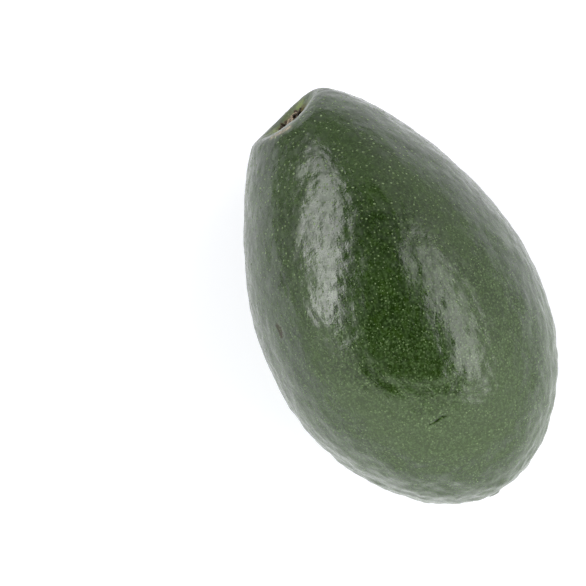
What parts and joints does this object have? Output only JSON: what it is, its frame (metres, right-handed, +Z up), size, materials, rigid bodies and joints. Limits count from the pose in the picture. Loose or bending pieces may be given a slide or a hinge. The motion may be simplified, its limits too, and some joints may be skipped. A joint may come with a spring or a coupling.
{
  "type": "avocado",
  "caption": "Whole green avocado lying on its side: an egg-shaped fruit with a dimple at the stem end that holds a dry woody stem button with a ragged collar.",
  "frame": {"origin": "on the surface the fruit rests on, under the middle of its bounding box", "axes": "+X along the fruit's long axis from the stem end to the blossom end, +Z up, +Y to the left when looking along +X"},
  "size_m": [0.1124, 0.0714, 0.0689],
  "materials": {
    "avocado_skin": "waxy pebbled green skin with fine pale dots, semi-gloss",
    "dry_stem_wood": "dry, wrinkled brown stem tissue, matt"
  },
  "bodies": {
    "root": {"fruit": "avocado_skin", "stem_button": "dry_stem_wood"}
  },
  "joints": []
}
